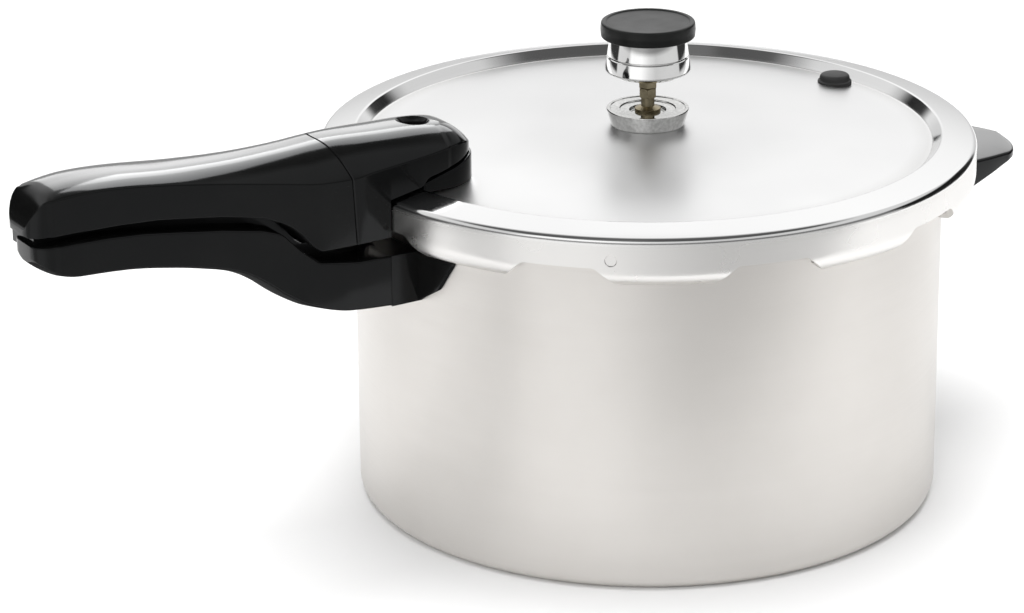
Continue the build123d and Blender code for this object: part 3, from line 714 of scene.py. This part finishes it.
# ---------------------------------------------------------------------------
# Handles
# ---------------------------------------------------------------------------
def ring_up(w, z0, z1, crown, r_crease, r_base, power=2.4, n=12, draft=0.0):
    """Section with flat bottom, upright sides and crowned top."""
    zc = z1 - crown
    half = [(0.0, z1)]
    for k in range(1, n):
        u = k / n
        half.append((u * w, zc + crown * (1 - u ** power)))
    half.append((w, zc))
    half.append((w - draft, z0))
    half.append((0.0, z0))
    rad = [0.0] * n + [r_crease, r_base, 0.0]
    h = rounded(half, rad, 5)
    return h + [(-y, z) for y, z in reversed(h[1:-1])]


def ring_down(w, z0, z1, arch, r_low, r_top, power=2.6, n=12):
    """Section with flat top, upright sides and arched bottom."""
    zc = z0 + arch
    half = [(0.0, z0)]
    for k in range(1, n):
        u = k / n
        half.append((u * w, zc - arch * (1 - u ** power)))
    half.append((w, zc))
    half.append((w, z1))
    half.append((0.0, z1))
    rad = [0.0] * n + [r_low, r_top, 0.0]
    h = rounded(half, rad, 5)
    return h + [(-y, z) for y, z in reversed(h[1:-1])]


def grow(ring, d, zc):
    """Shrink a section by about d towards its middle."""
    w = max(abs(y) for y, z in ring)
    h = max(abs(z - zc) for y, z in ring)
    return [(y * (1 - d / w), zc + (z - zc) * (1 - d / h)) for y, z in ring]


def stations(a, b, step, extra=()):
    n = max(2, int(abs(b - a) / step))
    s = [a + (b - a) * k / n for k in range(n + 1)] + list(extra)
    return sorted(set(round(v, 4) for v in s))


TOP_ROWS = [  # reach, half width, ridge, crown
    (90, 18.4, 175.2, 3.2), (95, 18.4, 179.2, 4.0), (100, 18.5, 182.3, 5.0),
    (105, 18.8, 184.4, 6.0), (111, 19.2, 185.5, 7.4), (120, 19.8, 186.3, 9.2),
    (133, 20.4, 186.8, 11.0), (146, 20.8, 187.3, 12.7), (158, 21.0, 187.5, 14.2),
    (166, 20.8, 187.2, 14.2), (177, 19.6, 186.6, 12.7), (190, 18.4, 186.2, 10.1),
    (203, 17.6, 186.2, 7.8), (216, 17.0, 186.7, 6.0), (235, 16.4, 188.0, 4.2),
    (250, 16.2, 189.4, 3.5), (264, 15.9, 190.2, 3.0), (278, 15.3, 190.0, 2.6),
    (290, 14.6, 188.6, 2.6), (306, 13.6, 186.0, 2.6)]
top_wv = spline([r[0] for r in TOP_ROWS], [r[1] for r in TOP_ROWS])
top_zv = spline([r[0] for r in TOP_ROWS], [r[2] for r in TOP_ROWS])
top_cv = spline([r[0] for r in TOP_ROWS], [r[3] for r in TOP_ROWS])
NOSE, NOSE_R = 94.6, 16.5
TIP_TOP, TIP_LOW, TIP_R = 299.3, 296.6, 8.0


def blunt(w, r, tip):
    """Half width near a blunt rear end with rounded corners."""
    if r > 270:
        w = min(w, 16.0 - 3.2 * (r - 270) / (tip - 270))
    if r > tip - TIP_R:
        w = min(w, 4.8 + math.sqrt(max(0.0, TIP_R ** 2 - (r - tip + TIP_R) ** 2)))
    return w


def top_w(r):
    """Half width of the cover handle, rounded at both ends."""
    w = top_wv(r)
    if r < NOSE + NOSE_R:
        w = min(w, 2.1 + math.sqrt(max(0.0, NOSE_R ** 2 - (NOSE + NOSE_R - r) ** 2)))
    return blunt(w, r, TIP_TOP)


def top_z(r):
    """Ridge height, rounded down at both ends."""
    z = top_zv(r)
    if r > 284:
        t = min(1.0, (r - 284) / (TIP_TOP - 284))
        z -= 14.0 * (1 - (1 - t ** 2.6) ** 0.62)
    if r < NOSE + NOSE_R:
        z -= top_cv(r) * 0.92 * ((NOSE + NOSE_R - r) / NOSE_R) ** 3.4
    return z


FRONT_BOT = rounded([(80, 173.4), (94, 173.2), (100, 172.4), (104, 171.2), (108, 170.0),
                     (112, 169.0), (118, 167.7), (122.4, 167.1), (124.2, 166.3), (125.8, 164.4),
                     (127.6, 163.2), (129.6, 162.9), (142.3, 160.7)],
                    [0, 6, 8, 8, 8, 8, 8, 2, 1.2, 1.2, 1.5, 0, 0], 5)
FOOT_TOP = polyline([(90, 172.2), (94, 172.0), (100, 171.2), (106, 169.0), (112, 166.9),
                     (119, 165.0), (126, 163.2)])
REAR_BOT = rounded([(140, 144.5), (173.4, 144.5), (177, 147.4), (181.5, 152.8), (185.3, 156.4),
                    (190, 159.3), (198, 163.0), (216, 166.7), (244.5, 170.6), (262, 171.6),
                    (280, 171.7), (300, 170.9)],
                   [0, 2.0, 4, 6, 6, 6, 10, 20, 20, 20, 20, 0], 5)
front_bot = polyline(FRONT_BOT)
rear_bot = polyline(REAR_BOT)


def hug(r, y):
    """Reach of a point at station r and offset y; near the skirt it follows the skirt."""
    k = 0.0
    if 122 <= r <= 143.5:
        k = 1.0
    elif 112 < r < 122:
        k = (r - 112) / 10
    elif 143.5 < r < 152:
        k = (152 - r) / 8.5
    return r - k * (r - math.sqrt(r * r - y * y))


def seam(y, z):
    """How far the joint of the two mouldings lies inside R_SEAM."""
    return 6.8 * (y / 20.5) ** 2 + 1.6 * (173.0 - z) / 28.0


def place_front(r, y, z):
    k = max(0.0, (r - 150.0) / (R_SEAM - 150.0))
    return (-(hug(r, y) - k * seam(y, z)), y, z)


def place_rear(r, y, z):
    k = max(0.0, (172.5 - r) / (172.5 - R_SEAM))
    return (-(r - k * seam(y, z)), y, z)


def top_ring(r, z0):
    """Section of the cover handle at reach r, cut to its plan outline."""
    w = top_w(r)
    z1 = top_z(r)
    c = min(z1 - (top_zv(r) - top_cv(r)), z1 - z0 - 1.0)
    s = min(1.0, w / 12)
    return ring_up(w, z0, z1, max(0.3, c), 1.8 * s, 0.5 * s, 3.0)


def build_cover_handle():
    secs = []
    for r in stations(NOSE, 142.38, 1.0, (NOSE + 0.15, NOSE + 0.4, NOSE + 0.8, NOSE + 1.4)):
        secs.append((r, top_ring(r, front_bot(r))))
    for r in stations(142.4, R_SEAM - 0.45, 1.2):
        secs.append((r, top_ring(r, 144.5)))
    secs.append((R_SEAM - 0.05, grow(top_ring(R_SEAM, 144.5), 0.5, 165)))
    front = skin("cover_handle_nose", secs, 34, place_front)

    def panel(x, y):
        r = math.hypot(x, y)
        if r > R_PANEL:
            return min(Z_STEP, Z_PANEL + (r - R_PANEL) * 1.07) + 0.4
        return dome(r) + 0.3
    foot = prism("foot", -93.8, -123.5, 17.8, 16.5, panel, FOOT_TOP, 0.8)
    neck = prism("neck", -96.6, -122.0, 15.2, 14.0, lambda x, y: 163.5, lambda r: 174.0)
    # bevelled hole over the lock pin
    for ob in (front, foot, neck):
        prof = [(0, 150), (6.4, 150), (6.4, 168), (5.1, 168), (5.1, 183.4), (5.5, 184.2),
                (7.5, 186.2), (7.9, 187.4), (8.2, 192), (0, 192)]
        cut(ob, lathe("hole", prof, 64, False, -R_AIR_POS, 0))
    join(front, foot, neck)
    settle(front, "cover", "cover_handle_front")

    secs = [(R_SEAM + 0.05, grow(top_ring(R_SEAM, 144.5), 0.5, 165))]
    for r in stations(R_SEAM + 0.45, TIP_TOP, 1.3, (TIP_TOP - 0.8, TIP_TOP - 0.35, TIP_TOP - 0.1)):
        z0 = rear_bot(r)
        if r > TIP_TOP - 1.5:
            z0 += 0.6 * ((r - TIP_TOP + 1.5) / 1.5) ** 2
        secs.append((r, top_ring(r, z0)))
    rear = skin("cover_handle_rear", secs, 34, place_rear)
    settle(rear, "cover", "cover_handle_grip")


LOW_ROWS = [  # reach, half width, bottom, arch
    (140.5, 20.0, 112.6, 2.0), (160, 19.8, 114.2, 2.0), (178, 18.8, 119.0, 2.6),
    (188, 17.9, 124.6, 3.0), (197, 17.3, 131.6, 3.0), (206, 16.9, 137.4, 3.0),
    (214, 16.5, 141.0, 2.6), (224, 16.3, 143.8, 2.4), (238, 16.1, 146.9, 2.4),
    (258, 15.7, 150.0, 2.4), (271, 15.3, 150.8, 2.4), (280, 14.9, 151.1, 2.4),
    (287, 14.4, 152.7, 2.4), (293, 13.8, 156.0, 2.4), (300, 13.2, 162.2, 2.4)]
low_wv = mono([r[0] for r in LOW_ROWS], [r[1] for r in LOW_ROWS])
low_z = mono([r[0] for r in LOW_ROWS], [r[2] for r in LOW_ROWS])
low_a = mono([r[0] for r in LOW_ROWS], [r[3] for r in LOW_ROWS])
LOW_TOP = rounded([(130, 136.2), (156, 136.6), (174, 139.4), (182.5, 146.6), (190, 154.5),
                   (198, 157.4), (216, 160.8), (237, 164.0), (252, 166.1), (267, 167.1),
                   (281, 167.2), (300, 166.3)],
                  [0, 0, 6, 10, 6, 14, 20, 20, 20, 20, 20, 0], 5)
low_top = polyline(LOW_TOP)
RIB = [(-147, 134.0), (-147, 144.0), (-172, 144.0), (-175.2, 144.2), (-177.7, 146.0),
       (-182.2, 151.4), (-186.0, 155.1), (-190.6, 158.1), (-198.4, 161.9), (-216, 166.0),
       (-244.5, 169.9), (-262, 170.9), (-280, 171.0), (-294.6, 170.4), (-294.6, 163.0),
       (-237, 160.0), (-200, 154.0), (-192, 150.0), (-184, 142.0), (-172, 135.0)]


def build_body_handle():
    secs = []
    first = ring_down(low_wv(141), 112.6, 136.4, 2.0, 1.6, 0.9)
    secs.append((140.55, grow(first, 0.5, 124)))
    for r in stations(141.0, TIP_LOW, 1.3, (TIP_LOW - 0.8, TIP_LOW - 0.35, TIP_LOW - 0.1)):
        w = blunt(low_wv(r), r, TIP_LOW)
        s = min(1.0, w / 12)
        z1 = low_top(r)
        z0 = min(low_z(r), z1 - 2.0)
        a = min(low_a(r), z1 - z0 - 1.0)
        secs.append((r, ring_down(w, z0, z1, a, 1.6 * s, 0.9 * s)))
    ob = skin("body_handle_lower", secs, 34, lambda r, y, z: (-r, y, z))
    rib = skin("rib", [(y, [(z, x) for x, z in RIB]) for y in (-5.0, 14.5)], 34,
               lambda y, z, x: (x, y, z))
    join(ob, rib)
    settle(ob, "pot", "body_handle_grip")


def build_helper():
    top = polyline([(110, 127.4), (160, 127.0), (194, 126.2)])
    bot = polyline(rounded([(110, 103.5), (128, 104.8), (160, 114.8), (181, 121.9), (190, 122.6),
                            (194, 122.9)], [0, 10, 30, 8, 0, 0], 5))
    wid = mono([120, 128, 150, 168, 178], [32.6, 32.0, 30.2, 28.6, 27.0])

    def half(r):
        if r < 178:
            return wid(r)
        t = min(1.0, (r - 178) / 15.2)
        return 27.0 * max(0.0005, 1 - t ** 1.8) ** 0.55

    secs = []
    for r in stations(127.6, 192.9, 1.0, (191.6, 192.4, 193.1)):
        w = half(r)
        z0, z1 = bot(r), top(r)
        s = min(1.0, w / 10)
        h = z1 - z0
        secs.append((r, ring_up(w, z0, z1, min(0.9, h * 0.3), min(1.8, h * 0.4) * s,
                                min(1.0, h * 0.25) * s, power=3.0)))

    def place(r, y, z):
        k = max(0.0, min(1.0, (150 - r) / 20))
        return (r - k * (r - math.sqrt(r * r - y * y)), y, z)
    # inner face in nested rings, so that it follows the wall
    near = secs[0][1]
    secs[:0] = [(secs[0][0], [(y * f, 115.5 + (z - 115.5) * f) for y, z in near])
                for f in (0.03, 0.27, 0.51, 0.75)]
    ob = skin("helper_handle_tab", secs, 34, place)
    settle(ob, "pot", "helper_handle")


# ---------------------------------------------------------------------------
# Ring, vent, regulator, plug
# ---------------------------------------------------------------------------
def build_small():
    prof = rounded([(125.6, 153.05), (137, 153.05), (137, 157.1), (128.6, 157.1),
                    (128.6, 155.0), (125.6, 155.0)], [0.5, 0.5, 0.8, 0.8, 0.5, 0.6], 5, True)
    settle(lathe("sealing_ring_soft", prof, 240), "sealing_ring", "sealing_ring")

    prof = rounded([(4.0, 164.0), (15.8, 164.0), (16.1, 164.8), (17.86, VENT_Z1 - 0.4),
                    (17.6, VENT_Z1), (16.4, VENT_Z1), (16.1, VENT_Z1 - 0.35),
                    (12.2, VENT_Z1 - 0.35), (11.9, VENT_Z1 - 1.0), (8.0, VENT_Z1 - 1.0),
                    (7.7, VENT_Z1 - 2.4), (4.0, VENT_Z1 - 2.4)],
                   [0, 0.4, 0.6, 0.3, 0.15, 0.15, 0.15, 0.2, 0.2, 0.2, 0.2, 0], 4, True)
    settle(lathe("vent_disc", prof, 160), "cover", "vent_base")

    prof = rounded([(6.0, 189.4), (9.0, 189.4), (9.0, REG_Z0), (15.6, REG_Z0), (18.5, 188.4),
                    (17.75, REG_GROOVE - 0.5), (17.1, REG_GROOVE), (6.0, REG_GROOVE)],
                   [0, 0, 0.4, 1.4, 1.0, 0.3, 0, 0], 6, True)
    settle(lathe("regulator_lower", prof, 160), "regulator", "regulator_lower_weight")
    prof = rounded([(6.0, REG_GROOVE), (17.1, REG_GROOVE), (17.6, REG_GROOVE + 0.5),
                    (16.3, REG_Z1), (8.0, REG_Z1), (8.0, 201.5), (6.0, 201.5)],
                   [0, 0, 0.3, 0.3, 0, 0, 0], 5, True)
    settle(lathe("regulator_upper", prof, 160), "regulator", "regulator_upper_weight")
    prof = rounded([(0, 201.5), (8.0, 201.5), (8.0, REG_Z1), (R_CAP - 0.3, REG_Z1),
                    (R_CAP, 206.6), (R_CAP - 0.3, CAP_Z1), (18.2, CAP_Z1),
                    (17.6, CAP_Z1 - 0.5), (0, CAP_Z1 - 0.5)],
                   [0, 0, 0, 0.6, 2.0, 1.1, 0.3, 0.3, 0], 6)
    settle(lathe("regulator_top", prof, 160, False), "regulator", "regulator_cap")

    zp = dome(R_PLUG_POS)
    px = R_PLUG_POS * math.cos(math.radians(PLUG_DEG))
    py = R_PLUG_POS * math.sin(math.radians(PLUG_DEG))
    prof = rounded([(0, zp - 5.8), (3.6, zp - 5.8), (6.6, zp - 3.3), (5.0, zp - 3.2),
                    (5.0, zp - 0.6), (7.6, zp - 0.6), (7.6, zp + 1.5), (6.9, zp + 1.9),
                    (6.5, zp + 4.4), (0, zp + 5.0)],
                   [0, 1.0, 0.4, 0, 0, 0.3, 0.4, 0.3, 2.4, 0], 6)
    settle(lathe("safety_plug", prof, 72, False, px, py), "cover", "overpressure_plug")


build_pot()
build_cover()
build_cover_handle()
build_body_handle()
build_helper()
build_small()

# solids that stay as they are: finish only, with softened edges where they show
for name, ob in nodes.items():
    ob.data.materials.clear()
    ob.data.materials.append(BY_SLOT[SLOT_OF[name]])
bev = nodes["body_handle_guard"].modifiers.new("soft_edges", "BEVEL")
bev.width = 0.0007
bev.segments = 3
bev.limit_method = "ANGLE"
bev.angle_limit = math.radians(28)

# ---------------------------------------------------------------------------
# Stage
# ---------------------------------------------------------------------------
floor_me = bpy.data.meshes.new("floor")
TO_CAM = Vector((-0.5592, -0.8290, 0.0))
ACROSS = Vector((0.8290, -0.5592, 0.0))
corners = [TO_CAM * t + ACROSS * u for t, u in ((0.26, -0.9), (0.26, 0.9), (-5.0, 0.9), (-5.0, -0.9))]
floor_me.from_pydata([tuple(c) for c in corners], [], [(0, 1, 2, 3)])
floor = bpy.data.objects.new("floor", floor_me)
scene.collection.objects.link(floor)
fm = Mat("studio_floor", (0.86, 0.86, 0.86), 0.0, 0.6)
fm.color(fm.ramp(fm.noise(3.0, 2.0, 0.5), [(0.3, (0.87, 0.87, 0.87)), (0.7, (0.89, 0.89, 0.89))]))
floor.data.materials.append(fm.m)

world = bpy.data.worlds.new("studio")
scene.world = world
world.use_nodes = True
wt = world.node_tree
wt.nodes.clear()


def w_node(kind, **attrs):
    n = wt.nodes.new(kind)
    for k, v in attrs.items():
        setattr(n, k, v)
    return n


def w_ramp(sock, stops):
    n = w_node("ShaderNodeValToRGB")
    el = n.color_ramp.elements
    while len(el) < len(stops):
        el.new(0.5)
    for e, (pos, v) in zip(el, stops):
        e.position = pos
        e.color = (v, v, v, 1)
    wt.links.new(sock, n.inputs[0])
    return n.outputs[0]


# the studio: a bright sweep behind the object, a darker room on the camera's side
wc = w_node("ShaderNodeTexCoord")
ws = w_node("ShaderNodeSeparateXYZ")
wt.links.new(wc.outputs["Generated"], ws.inputs[0])
wm = w_node("ShaderNodeMapping")
wm.inputs["Rotation"].default_value = (0, 0, math.radians(124))
wt.links.new(wc.outputs["Generated"], wm.inputs[0])
wg = w_node("ShaderNodeTexGradient", gradient_type="RADIAL")
wt.links.new(wm.outputs[0], wg.inputs[0])
az = wg.outputs["Fac"]


def at(rel):
    return rel / 360.0 + 0.5


up = w_node("ShaderNodeMapRange")
for k, v in (("From Min", -1.0), ("From Max", 1.0), ("To Min", 0.0), ("To Max", 1.0)):
    up.inputs[k].default_value = v
wt.links.new(ws.outputs["Z"], up.inputs["Value"])


def el(z):
    return z * 0.5 + 0.5


def blend(fac, a, b, kind="MIX"):
    n = w_node("ShaderNodeMix", data_type="RGBA", blend_type=kind)
    if isinstance(fac, float):
        n.inputs[0].default_value = fac
    else:
        wt.links.new(fac, n.inputs[0])
    wt.links.new(a, n.inputs[6])
    wt.links.new(b, n.inputs[7])
    return n.outputs[2]


high = up.outputs[0]
back = w_ramp(high, [(el(-0.3), 0.64), (el(0.0), 0.56), (el(0.12), 0.62), (el(0.34), 0.91),
                     (el(0.54), 0.95), (el(0.68), 0.95), (el(0.87), 0.48), (el(0.95), 0.11)])
front = w_ramp(high, [(el(-0.5), 0.92), (el(0.03), 0.90), (el(0.10), 0.34), (el(0.40), 0.26),
                      (el(0.52), 1.0), (el(0.78), 1.0), (el(0.86), 0.14)])
bands = w_ramp(az, [(at(-131), 0.73), (at(-89), 0.66), (at(-64), 0.61), (at(-54), 0.60),
                    (at(-47), 1.00), (at(-18), 1.00), (at(4), 0.71), (at(22), 0.57),
                    (at(53), 0.61), (at(99), 0.61), (at(120), 0.63)])
front = blend(1.0, front, bands, "MULTIPLY")
# two black flags, left and right of the object
flag_az = w_ramp(az, [(at(-152), 0.0), (at(-148), 1.0), (at(-94), 1.0), (at(-90), 0.0),
                      (at(92), 0.0), (at(96), 1.0), (at(148), 1.0), (at(152), 0.0)])
flag_el = w_ramp(high, [(el(-0.17), 0.0), (el(-0.14), 1.0), (el(0.40), 1.0), (el(0.46), 0.0)])
flags = blend(1.0, flag_az, flag_el, "MULTIPLY")
side_mask = w_ramp(az, [(at(-150), 1.0), (at(-138), 0.0), (at(138), 0.0), (at(150), 1.0)])
mix_out = blend(side_mask, front, back)
shade = w_ramp(flags, [(0.0, 1.0), (1.0, 0.05)])
mix_out = blend(1.0, mix_out, shade, "MULTIPLY")
wb = w_node("ShaderNodeBackground")
wo = w_node("ShaderNodeOutputWorld")
wt.links.new(mix_out, wb.inputs["Color"])
wt.links.new(wb.outputs[0], wo.inputs[0])
wb.inputs["Strength"].default_value = 1.25


def area(name, loc, target, size, power, size_y=None, glossy=True):
    d = bpy.data.lights.new(name, "AREA")
    d.energy = power
    d.size = size
    if size_y:
        d.shape = "RECTANGLE"
        d.size_y = size_y
    ob = bpy.data.objects.new(name, d)
    scene.collection.objects.link(ob)
    ob.location = loc
    ob.rotation_euler = (Vector(target) - Vector(loc)).to_track_quat("-Z", "Y").to_euler()
    ob.visible_glossy = glossy
    return ob


area("overhead", (0.0, 0.0, 2.6), (0, 0, 0), 2.2, 82, glossy=False)
area("front", (-1.6, -2.2, 1.5), (0, 0, 0.1), 1.4, 16, glossy=False)
area("left", (-2.2, -0.5, 1.0), (-0.1, 0, 0), 1.2, 9, glossy=False)
# three soft strips that light only the black mouldings
strips = [area("strip_low", (-0.02, 0.32, 0.39), (-0.06, 0.0, 0.187), 0.36, 0.85, size_y=0.26),
          area("strip_high", (0.13, 0.30, 0.66), (-0.18, 0.0, 0.187), 0.46, 3.6, size_y=0.42),
          area("strip_right", (0.37, 0.33, 0.30), (0.16, 0.0, 0.16), 0.30, 0.30, size_y=0.26)]
dark_parts = bpy.data.collections.new("dark_parts")
for ob in sorted(bpy.data.objects, key=lambda o: o.name):
    if ob.type == "MESH" and M_BLACK.name in [m.name for m in ob.data.materials if m]:
        dark_parts.objects.link(ob)
for ob in strips:
    ob.light_linking.receiver_collection = dark_parts

# ---------------------------------------------------------------------------
# Camera at the photograph's angle
# ---------------------------------------------------------------------------
cam_d = bpy.data.cameras.new("camera")
cam_d.sensor_fit = "HORIZONTAL"
cam_d.sensor_width = 36.0
cam_d.lens = 137.07
cam_d.clip_start = 0.05
cam_d.clip_end = 60
cam = bpy.data.objects.new("camera", cam_d)
scene.collection.objects.link(cam)
right = Vector((0.84744, -0.53082, -0.00828))
up = Vector((0.19081, 0.28999, 0.93782))
fwd = Vector((0.49541, 0.79633, -0.34703))
rot = Matrix((right, up, -fwd)).transposed().to_4x4()
cam.matrix_world = Matrix.Translation((-0.90017, -1.33455, 0.67515)) @ rot
scene.camera = cam

scene.view_settings.view_transform = "Standard"
scene.view_settings.look = "None"
